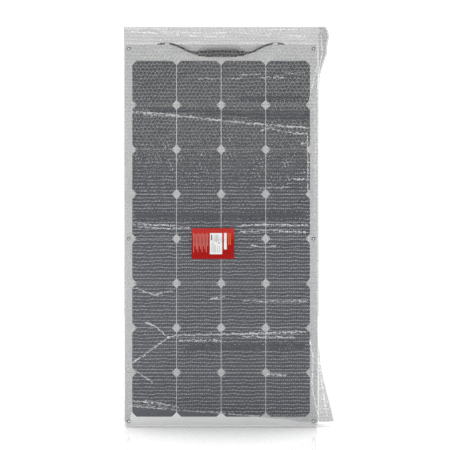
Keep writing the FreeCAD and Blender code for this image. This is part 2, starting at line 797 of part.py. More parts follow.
def make_all():
    make_sizes()
    for section in range(SECTION_COUNT):
        make_section(section)
    node("eyelets_top", eyelets(0))
    node("eyelets_middle", eyelets(SECTION_COUNT // 2))
    node("eyelets_bottom", eyelets(SECTION_COUNT - 1))
    node("box_pad", box_pad())
    node("box_base", box_base())
    node("box_lid", box_lid())
    node("box_terminals", terminals())
    node("bypass_diodes", diodes())
    node("cable_seals", cable_seals())
    node("cable_left", cable(LEAD_ROUTE, TAIL_ROUTE))
    node("cable_right", cable(mirrored(LEAD_ROUTE), mirrored(TAIL_ROUTE)))
    node("tape_bands", tape_bands())
    left_turns = node("coil_left", coil(-1))
    right_turns = node("coil_right", coil(1))
    node("coil_ties", group([coil_tie(-1, left_turns), coil_tie(1, right_turns)]))
    node("plug_nut", connector_nut(-1))
    node("plug_shell", plug_shell())
    node("plug_contact", plug_contact())
    node("socket_nut", connector_nut(1))
    node("socket_shell", socket_shell())
    node("socket_contact", socket_contact())
    node("label", label())
    node("label_sticker", sticker())
    node("label_strip", strip())


def write_all():
    """Checks every object and every sub-part, and then writes one file for each sub-part."""
    doc.recompute()
    for obj in doc.Objects:
        if "Invalid" in obj.State or "Error" in obj.State:
            raise RuntimeError(f"{obj.Name} ({obj.Label}) failed: {obj.State}")
    for obj in nodes:
        if obj.Shape.isNull() or not obj.Shape.isValid() or not obj.Shape.Solids:
            raise RuntimeError(f"{obj.Label} has no valid solid")
    os.makedirs("parts", exist_ok=True)
    for obj in nodes:
        obj.Shape.exportStep(f"parts/{obj.Label}.step")
        print(f"{obj.Label}: {len(obj.Shape.Solids)} solids, {obj.Shape.Volume:.1f} mm3")


make_all()
write_all()
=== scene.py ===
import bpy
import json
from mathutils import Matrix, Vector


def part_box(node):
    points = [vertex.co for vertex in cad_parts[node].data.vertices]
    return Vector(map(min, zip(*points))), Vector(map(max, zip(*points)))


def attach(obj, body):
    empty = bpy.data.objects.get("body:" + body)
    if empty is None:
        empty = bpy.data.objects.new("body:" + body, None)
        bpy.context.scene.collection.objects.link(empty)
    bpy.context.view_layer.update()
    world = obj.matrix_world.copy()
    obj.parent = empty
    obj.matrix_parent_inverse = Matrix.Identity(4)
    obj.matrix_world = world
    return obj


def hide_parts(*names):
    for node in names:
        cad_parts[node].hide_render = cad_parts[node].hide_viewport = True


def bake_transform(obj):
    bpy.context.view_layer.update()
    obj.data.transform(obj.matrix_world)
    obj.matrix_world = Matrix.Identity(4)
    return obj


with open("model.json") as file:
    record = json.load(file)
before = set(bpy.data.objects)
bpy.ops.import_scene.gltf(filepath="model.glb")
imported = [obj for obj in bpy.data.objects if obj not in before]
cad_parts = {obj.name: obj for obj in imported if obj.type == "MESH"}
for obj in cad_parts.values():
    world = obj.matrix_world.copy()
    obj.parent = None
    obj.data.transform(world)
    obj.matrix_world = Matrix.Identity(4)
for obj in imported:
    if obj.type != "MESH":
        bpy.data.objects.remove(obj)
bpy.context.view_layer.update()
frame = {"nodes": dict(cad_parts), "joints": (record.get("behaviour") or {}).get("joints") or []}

import json
import math

import bpy
import numpy as np
from mathutils import Vector

# The sheet, read from the frame: +Z up, front towards -Y, the origin between the top eyelets
SHEET_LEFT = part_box("backing_1")[0].x
SHEET_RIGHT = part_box("backing_1")[1].x
SHEET_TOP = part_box("backing_1")[1].z
SHEET_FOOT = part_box("backing_5")[0].z
SHEET_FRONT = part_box("film_1")[0].y
SHEET_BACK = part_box("backing_1")[1].y
BODIES = ["top_section", "upper_section", "middle_section", "lower_section", "foot_section"]
BEND_LINES = [joint["pos_m"][2] for joint in frame["joints"]]


# -------- camera and stage

# The camera's distance from the sheet, how wide a view it takes in there, and the view's middle
CAMERA_DISTANCE = 3.4
VIEW_WIDTH = 1.282
VIEW_ACROSS, VIEW_UP = 0.011, -0.502
SENSOR_WIDTH = 36

WHITE = (1, 1, 1, 1)
FLOOR_HEIGHT = SHEET_FOOT - 0.0006
WALL_GLOW = 0.88
SKY_STRENGTH = 0.19
# The stage: half its width, its front and back edges, and the height of its walls
STAGE_HALF_WIDTH, STAGE_FRONT, STAGE_BACK, STAGE_HEIGHT = 30, -30, 5.0, 7
# The round where the floor runs into the rear wall
BEND_RADIUS, BEND_STEPS = 1.0, 16
# Each light: name, place, the point it faces, its width and height, and its power
LIGHTS = [
    ("overhead", (0, -0.9, 1.5), (0, 0, -0.7), (2.6, 0.5), 1.5),
    ("key", (-0.9, -1.3, -1.02), (0, 0, -0.95), (0.8, 0.9), 10),
    ("fill", (1.2, -1.3, -1.02), (0, 0, -0.95), (0.9, 0.9), 10),
]


def add_camera():
    """Level with the middle of the sheet and square to it, from far enough for nearly straight lines."""
    data = bpy.data.cameras.new("camera")
    data.sensor_width = SENSOR_WIDTH
    data.lens = data.sensor_width * CAMERA_DISTANCE / VIEW_WIDTH
    camera = bpy.data.objects.new("camera", data)
    camera.location = (VIEW_ACROSS, -CAMERA_DISTANCE, VIEW_UP)
    camera.rotation_euler = (math.radians(90), 0, 0)
    bpy.context.scene.collection.objects.link(camera)
    bpy.context.scene.camera = camera


def new_mesh(name, points, faces, material, smooth=False):
    """A mesh piece. faces is a list of faces, or of arrays of faces with one number of corners each."""
    mesh = bpy.data.meshes.new(name)
    if isinstance(faces[0], np.ndarray):
        sizes = np.concatenate([np.full(len(group), group.shape[1]) for group in faces])
        corners = np.concatenate([group.ravel() for group in faces])
        mesh.vertices.add(len(points))
        mesh.vertices.foreach_set("co", np.asarray(points, dtype=np.float32).ravel())
        mesh.loops.add(len(corners))
        mesh.loops.foreach_set("vertex_index", corners.astype(np.int32))
        mesh.polygons.add(len(sizes))
        mesh.polygons.foreach_set("loop_start", (np.cumsum(sizes) - sizes).astype(np.int32))
    else:
        mesh.from_pydata([tuple(point) for point in points], [], faces)
    mesh.materials.append(material)
    mesh.polygons.foreach_set("use_smooth", [smooth] * len(mesh.polygons))
    mesh.update(calc_edges=True)
    piece = bpy.data.objects.new(name, mesh)
    bpy.context.scene.collection.objects.link(piece)
    return piece


def principled(name, color, roughness, **inputs):
    """A material on one shader. inputs sets its other sockets, named with _ for a space."""
    material = bpy.data.materials.new(name)
    material.use_nodes = True
    shader = material.node_tree.nodes["Principled BSDF"]
    shader.inputs["Base Color"].default_value = (*color, 1)
    shader.inputs["Roughness"].default_value = roughness
    for key, value in inputs.items():
        shader.inputs[key.replace("_", " ")].default_value = value
    return material


def add_light(name, place, target, size, power):
    data = bpy.data.lights.new(name, "AREA")
    data.shape = "RECTANGLE"
    data.size, data.size_y = size
    data.energy = power
    light = bpy.data.objects.new(name, data)
    light.location = place
    light.rotation_euler = (Vector(target) - Vector(place)).to_track_quat("-Z", "Y").to_euler()
    bpy.context.scene.collection.objects.link(light)


OCCLUSION_SAMPLES = 8
# What stands near shades the floor: how far it reaches, and how little open sky gives the full shade
WIDE_REACH, WIDE_CLOSED = 0.6, 0.5
NEAR_REACH, NEAR_CLOSED = 0.045, 0.62
# The floor's glow under the full wide shade, and how much more it has in the open
LEAST_GLOW, GLOW_RISE = 0.22, 0.68


def openness(nodes, links, reach, closed):
    """From 0 where the share of open sky within reach is no more than closed, to 1 where it is whole."""
    occlusion = nodes.new("ShaderNodeAmbientOcclusion")
    occlusion.samples = OCCLUSION_SAMPLES
    occlusion.inputs["Distance"].default_value = reach
    spread = nodes.new("ShaderNodeMapRange")
    spread.inputs["From Min"].default_value = closed
    links.new(occlusion.outputs["AO"], spread.inputs["Value"])
    return spread.outputs["Result"]


def shade_floor(material):
    """The floor's glow sinks towards whatever stands over it, and most in a thin line at its foot."""
    nodes, links = material.node_tree.nodes, material.node_tree.links
    glow = nodes.new("ShaderNodeMath")
    glow.operation = "MULTIPLY_ADD"
    links.new(openness(nodes, links, WIDE_REACH, WIDE_CLOSED), glow.inputs[0])
    glow.inputs[1].default_value = GLOW_RISE
    glow.inputs[2].default_value = LEAST_GLOW
    strength = nodes.new("ShaderNodeMath")
    strength.operation = "MULTIPLY"
    links.new(glow.outputs["Value"], strength.inputs[0])
    links.new(openness(nodes, links, NEAR_REACH, NEAR_CLOSED), strength.inputs[1])
    links.new(strength.outputs["Value"], nodes["Principled BSDF"].inputs["Emission Strength"])


def add_glow(material, strength):
    shader = material.node_tree.nodes["Principled BSDF"]
    shader.inputs["Emission Color"].default_value = WHITE
    shader.inputs["Emission Strength"].default_value = strength


def stage_shape():
    """Points and faces of the front wall, the floor, the round, the rear wall and the two side walls."""
    top = FLOOR_HEIGHT + STAGE_HEIGHT
    profile = [(STAGE_FRONT, top), (STAGE_FRONT, FLOOR_HEIGHT)]
    for step in range(BEND_STEPS + 1):
        angle = math.pi / 2 * step / BEND_STEPS
        profile.append((STAGE_BACK - BEND_RADIUS + BEND_RADIUS * math.sin(angle),
                        FLOOR_HEIGHT + BEND_RADIUS - BEND_RADIUS * math.cos(angle)))
    profile.append((STAGE_BACK, STAGE_HEIGHT))
    points = [(x, y, z) for y, z in profile for x in (-STAGE_HALF_WIDTH, STAGE_HALF_WIDTH)]
    faces = [(2 * i, 2 * i + 1, 2 * i + 3, 2 * i + 2) for i in range(len(profile) - 1)]
    for side in (-STAGE_HALF_WIDTH, STAGE_HALF_WIDTH):
        start = len(points)
        points += [(side, STAGE_FRONT, FLOOR_HEIGHT), (side, STAGE_BACK, FLOOR_HEIGHT),
                   (side, STAGE_BACK, top), (side, STAGE_FRONT, top)]
        faces.append(tuple(range(start, start + 4)))
    return points, faces


def add_stage():
    """A pale floor that runs into a pale wall, soft lights and an even sky."""
    floor_finish = principled("stage_floor", (0.36, 0.36, 0.36), 0.02, IOR=1.4)
    wall_finish = principled("stage_wall", (0.32, 0.32, 0.32), 0.6)
    add_glow(floor_finish, 0)
    add_glow(wall_finish, WALL_GLOW)
    shade_floor(floor_finish)
    stage = new_mesh("stage_sweep", *stage_shape(), wall_finish, smooth=False)
    stage.data.materials.append(floor_finish)
    stage.data.polygons[1].material_index = 1
    for face in stage.data.polygons[1:BEND_STEPS + 2]:
        face.use_smooth = True
    world = bpy.data.worlds.new("sky")
    world.use_nodes = True
    background = world.node_tree.nodes["Background"]
    background.inputs["Color"].default_value = WHITE
    background.inputs["Strength"].default_value = SKY_STRENGTH
    bpy.context.scene.world = world
    for light in LIGHTS:
        add_light(*light)


# -------- materials

MOTTLE_DETAIL, GRAIN_DETAIL = 6, 4
# The noise values at which a mottled colour is fully dark and fully light
DARK_UP_TO, LIGHT_FROM = 0.3, 0.7
LEAST_ROUGHNESS = 0.02
GRAIN_DEPTH = 0.0004


def add_noise(nodes, links, where, scale, detail):
    noise = nodes.new("ShaderNodeTexNoise")
    noise.inputs["Scale"].default_value = scale
    noise.inputs["Detail"].default_value = detail
    links.new(where.outputs["Object"], noise.inputs["Vector"])
    return noise


def mottled(name, dark, light, scale, roughness, spread=0.1, bump=0.0, bump_scale=400.0, **inputs):
    """A material whose colour and roughness wander a little, with a fine grain where it has a bump."""
    material = principled(name, light, roughness, **inputs)
    nodes, links = material.node_tree.nodes, material.node_tree.links
    shader = nodes["Principled BSDF"]
    where = nodes.new("ShaderNodeTexCoord")
    noise = add_noise(nodes, links, where, scale, MOTTLE_DETAIL)
    ramp = nodes.new("ShaderNodeValToRGB")
    ramp.color_ramp.elements[0].position = DARK_UP_TO
    ramp.color_ramp.elements[1].position = LIGHT_FROM
    ramp.color_ramp.elements[0].color = (*dark, 1)
    ramp.color_ramp.elements[1].color = (*light, 1)
    links.new(noise.outputs["Fac"], ramp.inputs["Fac"])
    links.new(ramp.outputs["Color"], shader.inputs["Base Color"])
    wander = nodes.new("ShaderNodeMapRange")
    wander.inputs["To Min"].default_value = max(LEAST_ROUGHNESS, roughness - spread)
    wander.inputs["To Max"].default_value = min(1.0, roughness + spread)
    links.new(noise.outputs["Fac"], wander.inputs["Value"])
    links.new(wander.outputs["Result"], shader.inputs["Roughness"])
    if bump:
        grain = add_noise(nodes, links, where, bump_scale, GRAIN_DETAIL)
        relief = nodes.new("ShaderNodeBump")
        relief.inputs["Strength"].default_value = bump
        relief.inputs["Distance"].default_value = GRAIN_DEPTH
        links.new(grain.outputs["Fac"], relief.inputs["Height"])
        links.new(relief.outputs["Normal"], shader.inputs["Normal"])
    return material


# The card's reds, from its foot up: darker below the fold that crosses its middle, with a thin dark line of
# painted shade along the fold
LABEL_REDS = [
    (0.0, (0.37, 0.003, 0.002)), (0.57, (0.34, 0.003, 0.002)), (0.585, (0.16, 0.004, 0.003)),
    (0.6, (0.44, 0.016, 0.012)), (1.0, (0.5, 0.03, 0.024)),
]


def label_reds_with_fold_shade(material, low, high):
    """Colours the card by its height, from low to high, in place of its mottled red, with painted shade along
    its fold.
    """
    nodes, links = material.node_tree.nodes, material.node_tree.links
    where = nodes.new("ShaderNodeTexCoord")
    apart = nodes.new("ShaderNodeSeparateXYZ")
    links.new(where.outputs["Object"], apart.inputs["Vector"])
    height = nodes.new("ShaderNodeMapRange")
    height.inputs["From Min"].default_value = low
    height.inputs["From Max"].default_value = high
    links.new(apart.outputs["Z"], height.inputs["Value"])
    ramp = nodes.new("ShaderNodeValToRGB")
    links.new(height.outputs["Result"], ramp.inputs["Fac"])
    elements = ramp.color_ramp.elements
    while len(elements) < len(LABEL_REDS):
        elements.new(0.5)
    for element, (position, color) in zip(elements, LABEL_REDS):
        element.position = position
        element.color = (*color, 1)
    links.new(ramp.outputs["Color"], nodes["Principled BSDF"].inputs["Base Color"])
    return material


def grey(value):
    return (value, value, value)


def make_materials():
    return {
        "cell": mottled("cell_silicon", (0.012, 0.015, 0.028), (0.02, 0.025, 0.045), 9, 0.32,
                        Coat_Weight=0.5, Coat_Roughness=0.12),
        "core": mottled("core_white", (0.82, 0.83, 0.83), (0.87, 0.87, 0.86), 6, 0.5, bump=0.15),
        "backing": mottled("backing_white", (0.76, 0.77, 0.77), (0.82, 0.82, 0.81), 8, 0.42, bump=0.3,
                           bump_scale=900),
        "film": mottled("film_clear", (0.51, 0.54, 0.56), (0.59, 0.62, 0.64), 14, 0.22, spread=0.08,
                        Alpha=0.05, IOR=1.9),
        "copper": mottled("tinned_copper", (0.2, 0.19, 0.18), (0.3, 0.29, 0.28), 60, 0.45, Metallic=1.0),
        "metal": mottled("eyelet_nickel", (0.2, 0.2, 0.19), (0.3, 0.3, 0.29), 300, 0.28, Metallic=1.0),
        "box": mottled("box_plastic", (0.03, 0.03, 0.033), (0.045, 0.045, 0.05), 60, 0.45, bump=0.5,
                       bump_scale=1800),
        "pad": mottled("foam_pad", (0.6, 0.6, 0.58), (0.7, 0.7, 0.68), 200, 0.9, bump=0.6),
        "rubber": mottled("seal_rubber", grey(0.018), grey(0.03), 120, 0.65, bump=0.3),
        "cable": mottled("cable_jacket", (0.014, 0.014, 0.015), (0.024, 0.024, 0.025), 90, 0.42, bump=0.2),
        "tape": mottled("marker_tape", (0.8, 0.8, 0.78), (0.88, 0.88, 0.86), 150, 0.5, bump=0.2),
        "connector": mottled("connector_plastic", (0.022, 0.022, 0.023), (0.035, 0.035, 0.036), 90, 0.4,
                             bump=0.3, bump_scale=1500),
        "contact": mottled("contact_metal", (0.7, 0.69, 0.66), (0.82, 0.81, 0.78), 200, 0.2, Metallic=1.0),
        # The bubble tops and the web are one film: the web's lighter colour on the bubble walls is partly
        # painted sheen, and so is that of its cool copy
        "bubble": mottled("bubble_top", grey(0.07), grey(0.11), 45, 0.32, Alpha=0.26, IOR=2.3),
        "web": mottled("bubble_web", (0.42, 0.42, 0.415), (0.54, 0.54, 0.535), 45, 0.32,
                       Alpha=0.31, IOR=2.3),
        # The crease finish is near white: painted highlight along the front leaf's creases
        "crease": mottled("crease_highlight_film", (0.88, 0.89, 0.9), (0.96, 0.97, 0.98), 120, 0.16, spread=0.06,
                          Alpha=0.52, IOR=2.8),
        "doubled": mottled("doubled_film", grey(0.22), grey(0.3), 35, 0.2, spread=0.08,
                           Alpha=0.38, IOR=2.4),
        "flap": mottled("free_flap", grey(0.17), grey(0.23), 35, 0.22, spread=0.08, Alpha=0.48, IOR=2.2),
        "bubble_cool": mottled("bubble_top_cool", (0.014, 0.018, 0.027), (0.026, 0.032, 0.043), 45, 0.34,
                               Alpha=0.26, IOR=2.2),
        "web_cool": mottled("bubble_web_cool", (0.74, 0.77, 0.82), (0.86, 0.89, 0.94), 45, 0.34,
                            Alpha=0.44, IOR=2.2),
        "red": label_reds_with_fold_shade(mottled("label_red", (0.44, 0.004, 0.003), (0.5, 0.006, 0.004), 30, 0.42,
                                   bump=0.1, Specular_IOR_Level=0.12),
                           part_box("label")[0].z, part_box("label")[1].z),
        "white": mottled("label_white", (0.78, 0.78, 0.77), (0.84, 0.84, 0.83), 60, 0.5, bump=0.1),
        "ink_grey": mottled("ink_grey", (0.22, 0.23, 0.25), (0.3, 0.31, 0.33), 500, 0.6),
        "ink_dark": mottled("ink_dark", (0.04, 0.04, 0.045), (0.06, 0.06, 0.065), 500, 0.5),
        "ink_pale": mottled("ink_pale", (0.58, 0.18, 0.15), (0.66, 0.22, 0.19), 500, 0.5),
        "ink_amber": mottled("ink_amber", (0.68, 0.12, 0.012), (0.76, 0.16, 0.018), 500, 0.5),
    }


NODE_FINISH = {
    "cells": "cell", "core": "core", "backing": "backing", "film": "film", "cell_links": "copper",
    "bus": "copper", "output_ribbons": "copper", "eyelets": "metal", "box_pad": "pad",
    "box_terminals": "contact", "bypass_diodes": "connector", "box": "box", "cable_seals": "rubber",
    "tape_bands": "tape", "coil_ties": "tape", "plug_contact": "contact", "socket_contact": "contact",
    "plug": "connector", "socket": "connector", "cable": "cable", "coil": "cable", "wrap": "bubble",
    "label_sticker": "white", "label_strip": "white", "label": "red",
}


def dress_cad_nodes(materials):
    """Gives each CAD node the finish whose key is the longest start of its name."""
    for name, piece in frame["nodes"].items():
        key = max((key for key in NODE_FINISH if name.startswith(key)), key=len)
        piece.data.materials.clear()
        piece.data.materials.append(materials[NODE_FINISH[key]])


# -------- leads

# The left lead, in metres: the route of its CAD tube, from the box's seal to the coil
LEAD_ROUTE = [
    (-0.0735, -0.0062, -0.014),
    (-0.092, -0.0062, -0.0095),
    (-0.118, -0.0062, 0.0055),
    (-0.138, -0.0062, 0.0125),
    (-0.151, -0.0035, 0.0155),
    (-0.163, 0.0025, 0.0156),
    (-0.178, 0.007, 0.0143),
    (-0.189, 0.0081, 0.006),
    (-0.2, 0.0081, -0.006),
    (-0.205, 0.0081, -0.022),
    (-0.204, 0.0081, -0.041),
]
# The tail, from the foot of the coil to the connector's nut
TAIL_ROUTE = [
    (-0.172, 0.0081, -0.075),
    (-0.155, 0.0086, -0.0755),
    (-0.137, 0.0095, -0.075),
]
CABLE_DIAMETER = 0.0055
COIL_TURNS = 3.25
COIL_POINTS_PER_TURN = 14
# How far the wire has crossed from the coil's back layer to its front one: its share x rate - delay
CROSSING_RATE, CROSSING_DELAY = 1.6, 0.3
# The marker band: where it starts and ends, its thickness over the jacket, that of its ends, and its sides
BAND_START, BAND_END = 0.146, 0.16
BAND_THICKNESS, BAND_END_THICKNESS = 0.0004, 0.00005
BAND_SIDES = 16


def coil_points():
    """The turns of the left lead's coil, from its left side round to its foot, in two layers."""
    low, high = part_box("coil_left")
    centre = (low + high) / 2
    half_wire = CABLE_DIAMETER / 2
    outer = (high.x - low.x) / 2 - half_wire
    inner = outer - CABLE_DIAMETER
    front, back = low.y + half_wire, high.y - half_wire
    count = round(COIL_TURNS * COIL_POINTS_PER_TURN)
    points = []
    for step in range(1, count):
        turn = step / COIL_POINTS_PER_TURN
        angle = math.pi + 2 * math.pi * turn
        share = turn / COIL_TURNS
        radius = outer - (outer - inner) * (0.5 - 0.5 * math.cos(2 * math.pi * share))
        depth = back + (front - back) * min(1.0, max(0.0, share * CROSSING_RATE - CROSSING_DELAY))
        points.append((centre.x + radius * math.cos(angle), depth, centre.z + radius * math.sin(angle)))
    return points


def line_points(lead):
    """The lead's smooth line as an array of points, read from its own spline."""
    bevel = lead.data.bevel_depth
    lead.data.bevel_depth = 0
    bpy.context.view_layer.update()
    line = bpy.data.meshes.new_from_object(lead.evaluated_get(bpy.context.evaluated_depsgraph_get()))
    lead.data.bevel_depth = bevel
    points = np.array([vertex.co[:] for vertex in line.vertices])
    bpy.data.meshes.remove(line)
    return points


def add_band(name, lead, low, high, material):
    """A marker band wrapped round a lead, from low to high in distance from the sheet's middle."""
    line = line_points(lead)
    distance = np.abs(line[:, 0])
    count = np.argmax(distance > high)
    line = line[:count][distance[:count] > low]
    points = []
    for number, centre in enumerate(line):
        before, after = line[max(0, number - 1)], line[min(len(line) - 1, number + 1)]
        along = Vector(after - before).normalized()
        across = along.cross(Vector((0, 1, 0))).normalized()
        over = along.cross(across)
        end = number in (0, len(line) - 1)
        radius = CABLE_DIAMETER / 2 + (BAND_END_THICKNESS if end else BAND_THICKNESS)
        for side in range(BAND_SIDES):
            turn = 2 * math.pi * side / BAND_SIDES
            points.append(Vector(centre) + (across * math.cos(turn) + over * math.sin(turn)) * radius)
    faces = []
    for ring in range(0, BAND_SIDES * (len(line) - 1), BAND_SIDES):
        for side in range(BAND_SIDES):
            after = (side + 1) % BAND_SIDES
            faces.append((ring + side, ring + after, ring + BAND_SIDES + after, ring + BAND_SIDES + side))
    faces.append(tuple(range(BAND_SIDES))[::-1])
    faces.append(tuple(range(len(points) - BAND_SIDES, len(points))))
    band = new_mesh(name, points, faces, material, smooth=True)
    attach(band, "top_section")
    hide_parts("tape_bands")
    return band


def add_lead(name, sign, material, tape):
    """One lead as a smooth curve: the open stretch, the coil and the tail.

    Blender adds a point's radius to the curve's box, so the points carry the radius and the bevel is 1.
    """
    route = LEAD_ROUTE[:-1] + coil_points() + TAIL_ROUTE[1:]
    data = bpy.data.curves.new(name, "CURVE")
    data.dimensions = "3D"
    data.bevel_depth = 1.0
    data.bevel_resolution = 5
    data.resolution_u = 10
    data.use_fill_caps = True
    data.materials.append(material)
    spline = data.splines.new("NURBS")
    spline.points.add(len(route) - 1)
    for point, (x, y, z) in zip(spline.points, route):
        point.co = (-sign * x, y, z, 1)
        point.radius = CABLE_DIAMETER / 2
    spline.order_u = 3
    spline.use_endpoint_u = True
    lead = bpy.data.objects.new(name, data)
    bpy.context.scene.collection.objects.link(lead)
    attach(lead, "top_section")
    side = "left" if sign < 0 else "right"
    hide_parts(f"cable_{side}", f"coil_{side}")
    band = add_band(f"marker_band_{side}", lead, BAND_START, BAND_END, tape)


# -------- bubble film

FILM_PITCH = 0.0115
ROW_PITCH = FILM_PITCH * math.sqrt(3) / 2
BUBBLE_RADIUS = 0.0051
BUBBLE_HEIGHT = 0.0032
FOLD_X = SHEET_LEFT - 0.0016
FOLD_DEPTH = 0.0025
FOLD_STEPS = 6
# How far beside the fold the film takes up its full depth
FOLD_REACH = 0.006
# The share of their height that bubbles keep where the film hangs free past the sheet's right edge
FREE_RELIEF = 0.15
FREE_FROM = SHEET_RIGHT + 0.004
# Past the sheet's top and right edges the two leaves come together, to this far from the middle plane
FREE_DEPTH = 0.0014
RIGHT_REACH = 0.03
# The rear leaf ends this far inside the front one
REAR_SHORT_ACROSS, REAR_SHORT_UP = 0.004, 0.002
# Points round a bubble, and its rings of points as shares of its radius and of its height
FRONT_SIDES, FRONT_RINGS = 12, [(1.0, 0.0), (0.84, 0.72), (0.45, 0.97)]
REAR_SIDES, REAR_RINGS = 8, [(1.0, 0.0), (0.75, 0.85)]
# A face of no more than this, twice its area, has been cut away at the film's edge
LEAST_AREA = 1e-9
WRAP_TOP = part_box("wrap_1")[1].z
WRAP_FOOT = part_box("wrap_5")[0].z
WRAP_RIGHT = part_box("wrap_1")[1].x

# The front leaf's free right edge: height, and how far to the right it reaches
RIGHT_EDGE = [
    (0.063, 0.298), (0.05, 0.305), (0.034, 0.308), (0.012, 0.303), (-0.014, 0.302), (-0.026, 0.297),
    (-0.055, 0.288), (-0.076, 0.281), (-0.12, 0.279), (-0.4, 0.278), (-0.8, 0.279), (-0.846, 0.282),
    (-0.9, 0.288), (-0.944, 0.296), (-0.995, 0.309), (-1.038, 0.319), (-1.06, 0.323), (-1.075, 0.318),
]
# The front leaf's foot: distance across, and height
FOOT_EDGE = [
    (-0.28, -1.07), (-0.264, -1.066), (-0.252, -1.02), (-0.15, -1.028), (-0.02, -1.038), (0.08, -1.046),
    (0.18, -1.056), (0.26, -1.066), (0.323, -1.061),
]
# Creases of the front leaf: points across and up, height, and half-width
FRONT_CREASES = [
    ([(-0.253, -0.18), (-0.16, -0.186), (-0.08, -0.196), (0.01, -0.206), (0.11, -0.215),
      (0.25, -0.226)], 0.004, 0.0035),
    ([(-0.22, -0.188), (-0.12, -0.193)], 0.0025, 0.0025),
    ([(0.115, -0.232), (0.14, -0.226), (0.175, -0.236), (0.245, -0.243)], 0.0032, 0.0028),
    ([(-0.065, -0.086), (-0.003, -0.087), (0.057, -0.085)], 0.0018, 0.0015),
    ([(0.06, -0.075), (0.111, -0.073)], 0.0022, 0.0017),
    ([(0.111, -0.083), (0.179, -0.081)], 0.0024, 0.0017),
    ([(0.182, -0.07), (0.239, -0.069)], 0.002, 0.0016),
    ([(0.272, 0.01), (0.276, -0.045), (0.262, -0.095), (0.25, -0.15)], 0.0026, 0.002),
    ([(0.284, 0.04), (0.288, -0.01), (0.279, -0.06), (0.272, -0.13)], 0.0026, 0.0022),
    ([(0.266, -0.15), (0.268, -0.3), (0.266, -0.48)], 0.0016, 0.0016),
    ([(-0.272, 0.056), (-0.2, 0.058), (-0.14, 0.051), (-0.06, 0.053), (0.06, 0.051), (0.18, 0.054),
      (0.29, 0.052)], 0.003, 0.002),
    ([(-0.265, 0.05), (-0.19, 0.044), (-0.13, 0.041), (-0.08, 0.038)], 0.0036, 0.0026),
    ([(-0.18, 0.049), (-0.12, 0.047), (-0.05, 0.043), (0.02, 0.046)], 0.003, 0.0022),
    ([(0.05, 0.044), (0.11, 0.04), (0.17, 0.041), (0.23, 0.036)], 0.0032, 0.0022),
    ([(0.13, 0.034), (0.18, 0.031), (0.24, 0.034)], 0.003, 0.0026),
    ([(-0.1, 0.033), (-0.03, 0.035), (0.04, 0.032)], 0.0022, 0.0018),
    ([(-0.235, -0.508), (-0.15, -0.512), (-0.09, -0.509)], 0.003, 0.0026),
    ([(-0.25, -0.5), (-0.13, -0.503)], 0.0022, 0.0024),
    ([(0.045, -0.504), (0.13, -0.5), (0.25, -0.503)], 0.003, 0.0026),
    ([(0.05, -0.521), (0.15, -0.517), (0.245, -0.523)], 0.0026, 0.0024),
    ([(0.085, -0.56), (0.12, -0.566), (0.155, -0.562)], 0.0024, 0.0024),
    ([(0.06, -0.716), (0.13, -0.719), (0.245, -0.718)], 0.0026, 0.0024),
    ([(-0.215, -0.778), (-0.185, -0.792), (-0.15, -0.822), (-0.12, -0.815), (0.03, -0.812),
      (0.24, -0.806)], 0.0036, 0.0034),
    ([(-0.15, -0.822), (-0.19, -0.85), (-0.25, -0.893)], 0.0034, 0.003),
    ([(-0.12, -0.83), (0.0, -0.829)], 0.0028, 0.0026),
    ([(0.06, -0.819), (0.21, -0.822)], 0.0022, 0.0024),
    ([(-0.245, -0.915), (-0.195, -0.95)], 0.0028, 0.0026),
    ([(0.13, -0.926), (0.19, -0.93)], 0.0022, 0.0026),
    ([(-0.25, -0.68), (-0.19, -0.7), (-0.14, -0.69)], 0.0018, 0.0022),
    ([(-0.03, -0.712), (0.01, -0.706)], 0.0022, 0.0024),
    ([(0.23, -0.27), (0.25, -0.268)], 0.0026, 0.0024),
    ([(0.2, -0.37), (0.25, -0.372)], 0.0022, 0.0024),
    ([(0.11, -0.398), (0.19, -0.394)], 0.0022, 0.0024),
    ([(0.245, -0.24), (0.247, -0.33), (0.246, -0.42)], 0.0024, 0.0024),
    ([(0.252, -0.83), (0.262, -0.88), (0.258, -0.96), (0.275, -1.04)], 0.003, 0.0026),
    ([(-0.25, -1.004), (-0.18, -1.008), (-0.12, -1.02)], 0.0028, 0.003),
    ([(-0.262, -1.016), (-0.15, -1.027), (-0.02, -1.036), (0.08, -1.044), (0.18, -1.054),
      (0.255, -1.063)], 0.002, 0.0022),
    ([(0.278, -0.88), (0.286, -0.96), (0.3, -1.04)], 0.002, 0.0016),
    ([(-0.245, -1.012), (-0.222, -1.02), (-0.2, -1.014)], 0.002, 0.0015),
    ([(-0.236, -1.006), (-0.214, -1.0), (-0.19, -1.003)], 0.002, 0.0014),
    ([(-0.208, -1.022), (-0.178, -1.016), (-0.15, -1.021)], 0.002, 0.0014),
]


GOLDEN_ANGLE = 2.399
RIPPLE_WAVES = 5


def ripple(across, up, size, seed):
    """A smooth wandering value from -1 to 1: waves about size long, each turned by the golden angle."""
    total = 0
    for order in range(1, RIPPLE_WAVES + 1):
        turn = seed * 1.7 + order * GOLDEN_ANGLE
        wave = 2 * math.pi / (size / (0.6 + 0.45 * order))
        along = across * math.cos(turn) + up * math.sin(turn)
        total = total + np.sin(along * wave + seed * 3.1 + order * 1.3) / RIPPLE_WAVES
    return total


def distance_to_line(across, up, line):
    nearest = np.full(across.shape, 1e9)
    for (x0, z0), (x1, z1) in zip(line, line[1:]):
        dx, dz = x1 - x0, z1 - z0
        share = np.clip(((across - x0) * dx + (up - z0) * dz) / (dx * dx + dz * dz), 0, 1)
        nearest = np.minimum(nearest, np.hypot(across - x0 - share * dx, up - z0 - share * dz))
    return nearest


